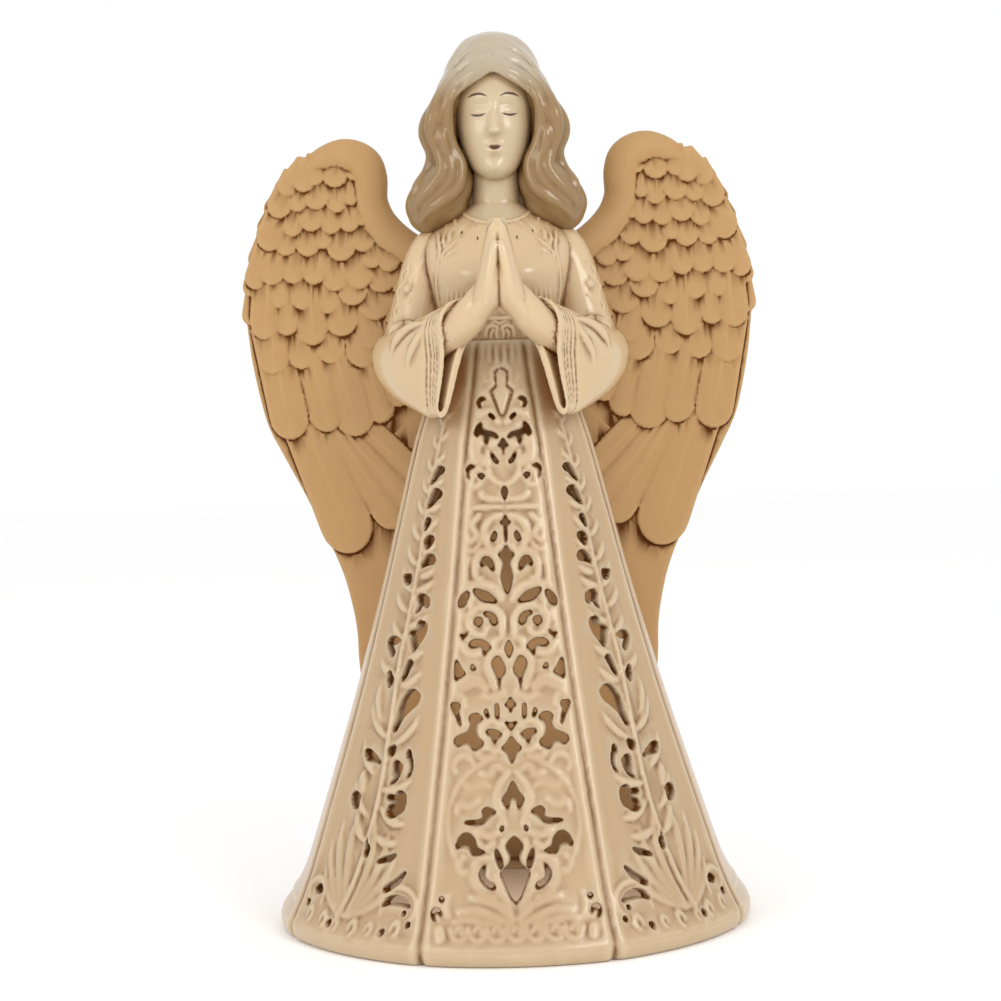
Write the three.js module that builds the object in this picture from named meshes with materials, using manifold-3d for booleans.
// A praying angel, slip-cast in ivory ceramic: a hollow pierced gown, bell sleeves,
// waved hair and folded wings.
// Millimetres, +Z up; the figure faces -Y. The origin is the middle of the gown's foot, on the table.
import * as THREE from "three";
import { mergeVertices } from "three/addons/utils/BufferGeometryUtils.js";
import Module from "manifold-3d";

const wasm = await Module();
wasm.setup();

// Driving dimensions of the whole figure
const CROWN_HEIGHT = 330;
const WAIST_HEIGHT = 214;
const WALL = 4.2;

// The gown: eight gores, each given by how far its middle stands from the axis at a height
const PANELS = 8;
const PANEL_TURN = (2 * Math.PI) / PANELS;
const GROOVE_DEPTH = 1.5;
const GROOVE_EDGE = 0.93;
// Height, distance, and how flat the gore is: 0 is part of a circle, 1 is a plane
const GOWN_PROFILE = [
  [0, 86.6, 0.1],
  [5, 89, 0.1],
  [11.5, 85.2, 0.3],
  [17, 81.6, 0.5],
  [24, 78.2, 0.5],
  [90, 57, 0.5],
  [178, 33.6, 0.5],
  [WAIST_HEIGHT, 22, 0.4],
];
const GORE_SHARES = [-0.62, 0.62];
const CAVITY_HEIGHTS = [-1, 17, 90, 178, 194];
const CAVITY_TOP = 203;

// The pierced scrollwork of the front gore: shape, across, up, width, height, turn in degrees.
// A motif off the middle line is repeated on the other side, mirrored.
const FRONT_MOTIFS = [
  ["crescent", 7.5, 193.7, 4.6, 4.6, 50],
  ["clover", 6.8, 183.2, 7.6, 5.2, 20],
  ["drop", 0, 179, 4, 6.6, 0],
  ["crescent", 12, 170.2, 4.6, 5, 20],
  ["leaf", 0, 162.7, 2.4, 6.4, 0],
  ["lozenge", 0, 153.2, 3.4, 4.6, 0],
  ["drop", 4.4, 148, 2.6, 4.8, 10],
  ["kite", 0, 136.6, 6.2, 16.5, 0],
  ["crescent", 7.6, 140, 5.6, 6, 90],
  ["leaf", 8, 128, 4.6, 8.6, 62],
  ["crescent", 15.6, 126.5, 4, 6.4, -10],
  ["crescent", 9, 119.6, 6.6, 6.6, 150],
  ["clover", 10.8, 110.6, 8.2, 5, 8],
  ["leaf", 0, 110, 2.8, 6, 0],
  ["drop", 4.4, 102.6, 4.8, 10.4, 180],
  ["kite", 18, 103.2, 4.4, 7.4, -12],
  ["lozenge", 0, 92, 4.4, 5.6, 0],
  ["crescent", 18.6, 88.4, 3.8, 7.6, -12],
  ["lozenge", 0, 84.2, 5, 5, 0],
  ["clover", 14.4, 82.2, 8.8, 11, 40],
  ["drop", 6.2, 80.8, 4.4, 5, 150],
  ["kite", 0, 75, 6.6, 9.6, 0],
  ["kite", 0, 60.4, 7, 10, 0],
  ["clover", 9.6, 53.6, 8.4, 5.6, -14],
  ["crescent", 15, 45, 8.4, 8, 60],
  ["leaf", 0, 45.4, 4.8, 7.6, 0],
  ["leaf", 5.8, 40.6, 2.6, 9, 12],
  ["crescent", 10, 34.2, 5.6, 8.4, 180],
  ["kite", 0, 31.2, 9, 14, 0],
  ["drop", 26.6, 22.6, 3.4, 4.4, 20],
];
const FRONT_GORE = 0;

// The climbing stem on the gores beside the front one, pierced beside each leaf
// from its foot to its top shoot
const VINE_GORES = [1, PANELS - 1];
const VINE_FOOT = 22;
const VINE_TOP = 176;
const VINE_NODES = 9;
const VINE_PIERCING = { width: 5.4, height: 9, spread: 34, offset: 6.2, rise: 6 };
const VINE_TOP_SCALE = 0.42;

// The bodice: height, half width, half depth, and how far its middle sits behind the axis
const BODICE_RINGS = [
  [205, 23, 20, 0],
  [213, 21.5, 18.8, 0],
  [213.6, 23, 20.3, 0],
  [215.6, 22.6, 19.9, 0],
  [221.4, 22.8, 19.9, -0.4],
  [222, 22.4, 19.2, -0.5],
  [238, 26, 22.5, -2],
  [247, 27.5, 20, -1],
  [254.5, 27, 16.5, 1],
  [260, 20.5, 13.5, 2],
  [264.5, 12, 10.5, 2.5],
];

// Neck and head: height, half width, half depth, middle behind the axis
const NECK_RINGS = [
  [258, 10.5, 9.5, 2.5],
  [266, 9, 8.6, 2],
  [284, 9.2, 9, 1.5],
];
const HEAD_RINGS = [
  [275.6, 3.6, 4, -9.6],
  [277.6, 6.8, 7.6, -7.2],
  [282, 10.4, 11.4, -3.8],
  [288, 12.8, 14.4, -1.4],
  [295, 13.8, 15.8, 0],
  [303, 14.2, 16.6, 1],
  [311, 13.6, 16, 2],
  [318, 10.8, 12.5, 3],
  [322, 5, 6, 4],
];
const FACE = { eyeHeight: 297.2, eyeSpacing: 6, mouthHeight: 284.4, noseFoot: 289.6, noseTop: 299 };

// Hair: parted in the middle, falling in waved locks to the shoulders.
// Height, half width, half depth, middle behind the axis
const HAIR_RINGS = [
  [251, 20, 7, 14],
  [256.5, 26, 13, 8],
  [262, 31.4, 15, 5.5],
  [268, 34.4, 15.5, 5],
  [275, 33.4, 16.5, 4.5],
  [283, 28.4, 18, 4],
  [297, 28.2, 20.4, 2.4],
  [305, 23.6, 21, 2],
  [313, 20, 20.4, 1.8],
  [320.5, 16, 16.6, 1.8],
  [326.5, 12, 12, 1.8],
  [CROWN_HEIGHT, 5, 5, 1.8],
];
const HAIR_LOCKS = 13;
const LOCK_GROOVE = 1.7;
const LOCK_WAVE = { swing: 0.11, length: 46, from: 318 };
const FACE_WINDOW = [
  [-13.6, 249],
  [13.6, 249],
  [13.8, 297],
  [11.8, 303.5],
  [6.6, 309],
  [0, 313],
  [-6.6, 309],
  [-11.8, 303.5],
  [-13.8, 297],
];
const FACE_WINDOW_BACK = -1;

// Arms, on the figure's left; the right arm mirrors it
const UPPER_ARM = [
  [[20.5, 2, 254], 6.5],
  [[24.5, 1.5, 249.5], 8],
  [[28, 0.5, 238], 9],
  [[31.5, -1, 223], 9.6],
  [[34.2, -4, 209], 10.2],
  [[34, -9, 203], 6],
];
const SLEEVE_RINGS = [
  { at: [41, 2, 208], hang: [0.2, 0.15, 0.96], drop: 6, depth: 4.5 },
  { at: [38.5, -3, 207], hang: [0.2, 0.15, 0.96], drop: 12, depth: 9 },
  { at: [33, -15, 206], hang: [0.1, 0.05, 0.99], drop: 15, depth: 10 },
  { at: [25, -29, 207], hang: [-0.08, -0.05, 0.99], drop: 19, depth: 8.4 },
  { at: [17.5, -40, 209], hang: [-0.2, -0.13, 0.97], drop: 23, depth: 5.6 },
];
const CUFF_WALL = 1.9;
const CUFF_DEPTH = 17;
const FOREARM = [
  [[27, -27, 213], 6],
  [[14, -41, 220], 6],
  [[6, -47.5, 225], 5.6],
];

// Hands held palm to palm: each finger from its knuckle to its tip, the little finger foremost
const PALM = { at: [4.4, -48, 232], half: [4.4, 8, 11] };
const FINGERS = [
  { y: -54.5, knuckle: 236, tip: 250.5, radius: 2.3 },
  { y: -50.8, knuckle: 238, tip: 256, radius: 2.5 },
  { y: -47, knuckle: 239, tip: 258.5, radius: 2.6 },
  { y: -43.2, knuckle: 238, tip: 256, radius: 2.5 },
];
const FINGER_SPREAD = [2.7, 1.7];
const THUMB = [
  [[5, -42, 232], 3],
  [[3.4, -39, 241], 2.6],
  [[2.2, -38, 248], 2],
];

// Wings: height, inner edge and outer edge of the blade, on the figure's left
const WING_OUTLINE = [
  [79, 52, 54],
  [83, 49.4, 56.4],
  [108, 42.4, 58.2],
  [123, 36.4, 61.2],
  [145, 24.4, 70.4],
  [174, 9.5, 86.2],
  [187, 6, 93],
  [206, 6, 97.4],
  [219, 6, 99],
  [232, 6, 100.4],
  [246, 10, 97.8],
  [254.5, 33.4, 95],
  [262, 40.8, 93],
  [271, 42.8, 89.4],
  [280, 42.2, 83.6],
  [287, 44.2, 75.6],
  [291.5, 47.6, 68],
  [294, 53, 61.5],
];
const WING_ROOT_BACK = 14;
const WING_SWEEP = 20;
const WING_THICKNESS = 5.4;
const WING_COLUMNS = 2;
const WING_CREST = { radius: 4.4, inset: 3.8, steps: 10, sides: 5 };
// Rows of feathers from the crest down: height of the tips, feather length and width
const FEATHER_ROWS = [
  { tip: 271, length: 12, width: 12, notch: 4.5 },
  { tip: 261.5, length: 13, width: 13, notch: 5 },
  { tip: 251, length: 15, width: 14, notch: 5.5 },
  { tip: 239.5, length: 17, width: 14.5, notch: 6 },
  { tip: 226.5, length: 21, width: 15, notch: 7.5 },
  { tip: 210, length: 28, width: 15, notch: 10 },
  { tip: 181, length: 46, width: 15, notch: 17 },
  { tip: 137, length: 64, width: 16.5, notch: 22 },
];
const FEATHER_TIP_RISE = 2.4;
const FEATHER_LEAN = { angle: 25, from: 236, to: 160 };
const BODICE_COVER = 24;

const smoothstep = (x) => THREE.MathUtils.smoothstep(x, 0, 1);
const vector = (p) => new THREE.Vector3(...p);
const sharpened = (v) => v * Math.abs(v);

/** Value of a table of [position, value, ...] rows at a position between them. */
function between(rows, at, column = 1) {
  const next = Math.max(1, rows.findIndex((row) => row[0] >= at));
  const [low, high] = at > rows.at(-1)[0] ? rows.slice(-2) : [rows[next - 1], rows[next]];
  const share = THREE.MathUtils.clamp((at - low[0]) / (high[0] - low[0]), 0, 1);
  return low[column] + share * (high[column] - low[column]);
}

/** The closed solid of a geometry, turned to face outwards. */
function solid(geometry) {
  geometry.deleteAttribute("normal");
  geometry.deleteAttribute("uv");
  const merged = mergeVertices(geometry, 1e-4);
  const made = new wasm.Manifold(
    new wasm.Mesh({
      numProp: 3,
      vertProperties: merged.attributes.position.array,
      triVerts: new Uint32Array(merged.index.array),
    }),
  );
  if (made.volume() > 0) return made;
  for (let i = 0; i < merged.index.count; i += 3) {
    const [a, b] = [merged.index.getX(i), merged.index.getX(i + 1)];
    merged.index.setX(i, b);
    merged.index.setX(i + 1, a);
  }
  return solid(merged);
}

/** Solid through rings with equal numbers of points, closed by a fan at each end. */
function loft(rings) {
  const sides = rings[0].length;
  const points = rings.flat();
  const index = [];
  for (let ring = 0; ring + 1 < rings.length; ring++) {
    for (let side = 0; side < sides; side++) {
      const a = ring * sides + side;
      const b = ring * sides + ((side + 1) % sides);
      index.push(a, b, b + sides, a, b + sides, a + sides);
    }
  }
  for (const [ring, turn] of [
    [0, 1],
    [rings.length - 1, -1],
  ]) {
    const middle = new THREE.Vector3();
    rings[ring].forEach((p) => middle.addScaledVector(p, 1 / sides));
    points.push(middle);
    for (let side = 0; side < sides; side++) {
      const a = ring * sides + side;
      const b = ring * sides + ((side + 1) % sides);
      index.push(points.length - 1, ...(turn > 0 ? [b, a] : [a, b]));
    }
  }
  return solid(new THREE.BufferGeometry().setFromPoints(points).setIndex(index));
}

/** Solid between two copies of a closed outline, with a rule for where each copy's points lie. */
function slab(points, rear, front) {
  const contour = points.map(([x, z]) => new THREE.Vector2(x, z));
  const count = points.length;
  const index = [];
  for (const face of THREE.ShapeUtils.triangulateShape(contour, [])) {
    const [a, b, c] = THREE.ShapeUtils.isClockWise(face.map((i) => contour[i])) ? face.reverse() : face;
    index.push(a, c, b, a + count, b + count, c + count);
  }
  for (let a = 0; a < count; a++) {
    const b = (a + 1) % count;
    index.push(a, b, b + count, a, b + count, a + count);
  }
  const corners = [...points.map(rear), ...points.map(front)];
  return solid(new THREE.BufferGeometry().setFromPoints(corners).setIndex(index));
}

/** Level ring of an ellipse with slightly squared sides. */
function levelRing([height, halfWidth, halfDepth, back], sides, squareness = 0.88) {
  const soften = (v) => Math.sign(v) * Math.abs(v) ** squareness;
  return Array.from({ length: sides }, (_, i) => {
    const turn = (2 * Math.PI * i) / sides;
    const x = halfWidth * soften(Math.cos(turn));
    const y = back + halfDepth * soften(Math.sin(turn));
    return new THREE.Vector3(x, y, height);
  });
}

/** Round limb through [point, radius] stations, its rings square to its path. */
function limb(stations, sides) {
  const curve = new THREE.CatmullRomCurve3(stations.map(([p]) => vector(p)));
  const last = stations.length - 1;
  const rings = stations.map(([, radius], i) => {
    const share = i / last;
    const ahead = curve.getTangent(share);
    const across = new THREE.Vector3(0, 1, 0).cross(ahead).normalize();
    const up = ahead.clone().cross(across);
    return Array.from({ length: sides }, (_, s) => {
      const turn = (2 * Math.PI * s) / sides;
      return curve
        .getPoint(share)
        .addScaledVector(across, radius * Math.cos(turn))
        .addScaledVector(up, radius * Math.sin(turn));
    });
  });
  return loft(rings);
}

const joined = (solids) => wasm.Manifold.union(solids);
const mirrored = (made) => made.mirror([1, 0, 0]);

// Gown

/** Point on a gore: distance across from its middle line, height, and lift off its surface. */
function gorePoint(gore, across, height, lift = 0) {
  const middle = between(GOWN_PROFILE, height);
  const aside = Math.atan(across / middle);
  const radius = middle * (1 + between(GOWN_PROFILE, height, 2) * (1 / Math.cos(aside) - 1)) + lift;
  const turn = -Math.PI / 2 + gore * PANEL_TURN + aside;
  return new THREE.Vector3(radius * Math.cos(turn), radius * Math.sin(turn), height);
}

/** Level ring round the gown through the same shares of every gore, lifted by a rule of the share. */
function gownRing(height, shares, lift) {
  const half = (share) => between(GOWN_PROFILE, height) * Math.tan((share * PANEL_TURN) / 2);
  return Array.from({ length: PANELS }, (_, gore) =>
    shares.map((share) => gorePoint(gore, half(share), height, lift(share))),
  ).flat();
}

function gownBody() {
  const shares = [-1, -GROOVE_EDGE, ...GORE_SHARES, GROOVE_EDGE];
  const groove = (share) => (share === -1 ? -GROOVE_DEPTH : 0);
  return loft(GOWN_PROFILE.map(([height]) => gownRing(height, shares, groove)));
}

function gownCavity() {
  const rings = CAVITY_HEIGHTS.map((height) => gownRing(height, GORE_SHARES, () => -WALL));
  const top = rings.at(-1).map((p) => new THREE.Vector3(0.6 * p.x, 0.6 * p.y, CAVITY_TOP));
  return loft([...rings, top]);
}

/** Outlines of the pierced shapes, round their own middle, as [across, up] pairs. */
const PIERCED = {
  kite: (w, h) => [
    [0, -h / 2],
    [w / 2, h * 0.08],
    [0, h / 2],
    [-w / 2, h * 0.08],
  ],
  lozenge: (w, h) =>
    outline(8, (a) => [(w / 2) * sharpened(Math.cos(a)), (h / 2) * sharpened(Math.sin(a))]),
  leaf: (w, h) => outline(6, (a) => [(w / 2) * sharpened(Math.sin(a)), (-h / 2) * Math.cos(a)]),
  drop: (w, h) =>
    outline(6, (a) => [-0.65 * w * Math.sin(a) * Math.sin(a / 2), (h / 2) * Math.cos(a)]),
  clover: (w, h) =>
    outline(7, (a) => {
      const lobe = 0.4 + 0.1 * Math.cos(3 * a);
      return [w * lobe * Math.cos(a), h * lobe * Math.sin(a)];
    }),
  crescent: (w, h) => {
    const arc = (inset) => Array.from({ length: 4 }, (_, i) => {
      const share = i / 3;
      const turn = THREE.MathUtils.degToRad(-115 + 230 * share);
      const shrink = 1 - inset * Math.sin(Math.PI * share);
      return [(w / 2) * shrink * Math.cos(turn), (h / 2) * shrink * Math.sin(turn)];
    });
    return [...arc(0), ...arc(0.62).slice(1, -1).reverse()];
  },
};

/** Closed outline of a number of points by a formula of the angle. */
function outline(count, formula) {
  return Array.from({ length: count }, (_, i) => formula((2 * Math.PI * i) / count));
}

/** Cutter for one piercing, straight through the wall of a gore. */
function piercing(gore, [shape, across, up, width, height, turn]) {
  const angle = THREE.MathUtils.degToRad(turn);
  const points = PIERCED[shape](width, height).map(([x, z]) => [
    across + x * Math.cos(angle) - z * Math.sin(angle),
    up + x * Math.sin(angle) + z * Math.cos(angle),
  ]);
  const outwards = -Math.PI / 2 + gore * PANEL_TURN;
  const shift = (d) => new THREE.Vector3(d * Math.cos(outwards), d * Math.sin(outwards), 0);
  const onGore = (d) => ([x, z]) => gorePoint(gore, x, z).add(shift(d));
  return slab(points, onGore(-WALL - 4), onGore(4));
}

function frontPiercings() {
  return FRONT_MOTIFS.flatMap((motif) => {
    const made = piercing(FRONT_GORE, motif);
    return motif[1] === 0 ? [made] : [made, mirrored(made)];
  });
}

/** Nodes of the climbing stem, foot first: height, side and size of the leaf there. */
function vineNodes() {
  const gaps = Array.from({ length: VINE_NODES }, (_, i) =>
    THREE.MathUtils.lerp(1, VINE_TOP_SCALE, i / (VINE_NODES - 1)),
  );
  const reach = (VINE_TOP - VINE_FOOT) / gaps.reduce((a, b) => a + b);
  let height = VINE_FOOT;
  return gaps.map((scale, i) => {
    const node = { height, scale, side: i % 2 ? -1 : 1 };
    height += scale * reach;
    return node;
  });
}

function vinePiercings(gore) {
  return vineNodes().map(({ height, scale, side }) =>
    piercing(gore, [
      "drop",
      -side * VINE_PIERCING.offset * scale,
      height + VINE_PIERCING.rise * scale,
      VINE_PIERCING.width * scale,
      VINE_PIERCING.height * scale,
      180 + side * VINE_PIERCING.spread,
    ]),
  );
}

// Bodice, neck and head

const bodice = () => loft(BODICE_RINGS.map((ring) => levelRing(ring, 16)));

/** Flattened ball, for the face's soft forms. */
function pebble([x, y, z], [halfWidth, halfDepth, halfHeight], across = 6, up = 4) {
  const ball = new THREE.SphereGeometry(1, across, up);
  return solid(ball.scale(halfWidth, halfDepth, halfHeight).translate(x, y, z));
}

function head() {
  const skull = loft(HEAD_RINGS.map((ring) => levelRing(ring, 12, 1)));
  const neck = loft(NECK_RINGS.map((ring) => levelRing(ring, 8, 1)));
  const { eyeHeight, eyeSpacing, mouthHeight, noseFoot, noseTop } = FACE;
  const nose = limb(
    [
      [[0, -15, noseTop], 1.2],
      [[0, -16.8, (noseFoot + noseTop) / 2], 1.6],
      [[0, -17.6, noseFoot + 0.8], 2.1],
      [[0, -15, noseFoot - 0.6], 1.2],
    ],
    6,
  );
  const lid = pebble([eyeSpacing, -12.6, eyeHeight], [3.3, 2, 2]);
  const lips = pebble([0, -14.4, mouthHeight], [2.6, 1.6, 1.5]);
  return joined([skull, neck, nose, lid, mirrored(lid), lips]);
}

// Hair

/** Level ring of the hair, grooved between locks that swing to and fro with the height. */
function hairRing([height, halfWidth, halfDepth, back]) {
  const { swing, length, from } = LOCK_WAVE;
  const wave = height < from ? swing * Math.sin((2 * Math.PI * (from - height)) / length) : 0;
  return outline(2 * HAIR_LOCKS, (a) => [a]).map(([a], i) => {
    const turn = a + Math.PI / 2 + wave * Math.sin(a);
    const groove = i % 2 ? Math.min(LOCK_GROOVE, 0.15 * halfWidth) : 0;
    return new THREE.Vector3(
      (halfWidth - groove) * Math.cos(turn),
      back + (halfDepth - groove) * Math.sin(turn),
      height,
    );
  });
}

function hair() {
  const mass = loft(HAIR_RINGS.map(hairRing));
  const window = slab(
    FACE_WINDOW,
    ([x, z]) => new THREE.Vector3(x, FACE_WINDOW_BACK, z),
    ([x, z]) => new THREE.Vector3(x, -40, z),
  );
  return mass.subtract(window);
}

// Arms and hands

/** Ring of a hanging sleeve: tall along its hang, narrow across it. */
function sleeveRing({ at, hang, drop, depth }, ahead, inset = 0) {
  const tall = vector(hang).normalize();
  const wide = tall.clone().cross(ahead).normalize();
  return outline(10, (a) => [a]).map(([a]) =>
    vector(at)
      .addScaledVector(tall, (drop - inset) * Math.sin(a))
      .addScaledVector(wide, (depth - inset) * Math.cos(a)),
  );
}

function arm() {
  const path = SLEEVE_RINGS.map(({ at }) => vector(at));
  const ahead = path.at(-1).clone().sub(path[1]).normalize();
  const sleeve = loft(SLEEVE_RINGS.map((ring) => sleeveRing(ring, ahead)));
  const mouth = SLEEVE_RINGS.at(-1);
  const mouthMoved = (shift) => ({
    ...mouth,
    at: path.at(-1).clone().addScaledVector(ahead, shift).toArray(),
  });
  const opening = loft([
    sleeveRing(mouthMoved(-CUFF_DEPTH), ahead, CUFF_WALL * 1.8),
    sleeveRing(mouthMoved(0.5), ahead, CUFF_WALL),
  ]);
  return joined([sleeve.subtract(opening), limb(UPPER_ARM, 8), limb(FOREARM, 6)]);
}

function hand() {
  const palm = pebble(PALM.at, PALM.half, 6, 5);
  const [atKnuckle, atTip] = FINGER_SPREAD;
  const fingers = FINGERS.map(({ y, knuckle, tip, radius }) =>
    limb(
      [
        [[atKnuckle, y + 1, knuckle - 3], radius],
        [[atKnuckle - 0.5, y, knuckle + 5], radius],
        [[atTip + 0.3, y, tip - 3], radius * 0.86],
        [[atTip - 0.6, y, tip], radius * 0.35],
      ],
      4,
    ),
  );
  return joined([palm, ...fingers, limb(THUMB, 5)]);
}

// Wings

const wingEdge = (height, column) => between(WING_OUTLINE, height, column);

/** How far back the middle of a wing's blade stands at a distance from the axis. */
function wingBack(across) {
  return WING_ROOT_BACK + WING_SWEEP * smoothstep((across - 4) / 110) * 1.15;
}

function wingBlade() {
  const rings = WING_OUTLINE.map(([height, inner, outer]) => {
    const front = [];
    const rear = [];
    for (let i = 0; i <= WING_COLUMNS; i++) {
      const x = THREE.MathUtils.lerp(inner, outer, i / WING_COLUMNS);
      const rim = 0.45 + 0.55 * Math.sin((Math.PI * i) / WING_COLUMNS);
      const half = (WING_THICKNESS / 2) * rim;
      front.push(new THREE.Vector3(x, wingBack(x) - half, height));
      rear.unshift(new THREE.Vector3(x, wingBack(x) + half, height));
    }
    return [...front, ...rear];
  });
  return loft(rings);
}

/** The smooth rounded leading edge, from the shoulder over the top of the wing. */
function wingCrest() {
  const { radius, inset, steps, sides } = WING_CREST;
  const rising = WING_OUTLINE.filter(([height]) => height >= 254)
    .map(([height, x]) => [x + inset, height - 1]);
  const falling = WING_OUTLINE.filter(([height]) => height >= 271)
    .reverse()
    .map(([height, , x]) => [x - inset, height - 2.5]);
  const onBlade = ([x, z]) => new THREE.Vector3(x, wingBack(x), z);
  const path = new THREE.CatmullRomCurve3([...rising, ...falling].map(onBlade));
  const stations = Array.from({ length: steps + 1 }, (_, i) => {
    const share = i / steps;
    return [path.getPointAt(share).toArray(), radius * (1 - 0.6 * smoothstep(2 * share - 0.9))];
  });
  return limb(stations, sides);
}

/** Outline of a row of feathers: rounded tips below, and a plain top edge under the row above. */
function rowOutline({ tip, length, width, notch }) {
  const { angle, from, to } = FEATHER_LEAN;
  const slant = Math.tan(THREE.MathUtils.degToRad(angle)) * smoothstep((from - tip) / (from - to));
  const at = (x, up) => [x + up * slant, tip + up];
  const inner = Math.max(wingEdge(tip, 1), BODICE_COVER) + 0.4 * width;
  const edges = [0, 0.3, 0.6, 1].map((share) => wingEdge(tip + share * length, 2) - share * length * slant);
  const outer = Math.min(...edges) - 0.44 * width;
  const count = Math.max(2, Math.round((outer - inner) / width) + 1);
  const step = (outer - inner) / (count - 1);
  const tips = Array.from({ length: count }, (_, i) => inner + i * step);
  const rounded = tips.flatMap((x) => [
    at(x - 0.5 * step, notch),
    at(x - 0.26 * step, 0.1 * notch),
    at(x + 0.26 * step, 0.1 * notch),
  ]);
  const top = [outer, (inner + outer) / 2, inner].map((x) => at(x, length));
  return [...rounded, at(outer + 0.5 * step, notch), ...top];
}

/** One row of feathers lying on the front of the blade like shingles, the tips raised. */
function featherRow(row) {
  const onBlade = (x, z, lift) => new THREE.Vector3(x, wingBack(x) - WING_THICKNESS / 2 - lift, z);
  const lift = (z) => THREE.MathUtils.lerp(FEATHER_TIP_RISE, -0.8, (z - row.tip) / row.length);
  return slab(
    rowOutline(row),
    ([x, z]) => onBlade(x, z, -WING_THICKNESS * 0.6),
    ([x, z]) => onBlade(x, z, lift(z)),
  );
}

const wing = () => joined([wingBlade(), wingCrest(), ...FEATHER_ROWS.map(featherRow)]);

// The figure is one casting: everything is fused, then the gown is hollowed and pierced
function angelFigure() {
  const leftHalf = joined([arm(), hand(), wing()]);
  const body = joined([gownBody(), bodice(), head(), hair(), leftHalf, mirrored(leftHalf)]);
  const piercings = joined([...frontPiercings(), ...VINE_GORES.flatMap(vinePiercings)]);
  return body.subtract(gownCavity()).subtract(piercings);
}

/** three.js geometry of a finished solid. */
function geometryOf(made) {
  const { vertProperties, triVerts } = made.getMesh();
  return new THREE.BufferGeometry()
    .setAttribute("position", new THREE.BufferAttribute(vertProperties, 3))
    .setIndex(new THREE.BufferAttribute(triVerts, 1));
}

const ivoryCeramic = new THREE.MeshStandardMaterial({ color: 0xdcc9a6, roughness: 0.38, metalness: 0 });
const figure = new THREE.Mesh(geometryOf(angelFigure()), ivoryCeramic);
figure.name = "angel_figure";

const angel = new THREE.Group();
angel.add(figure);

export default angel;
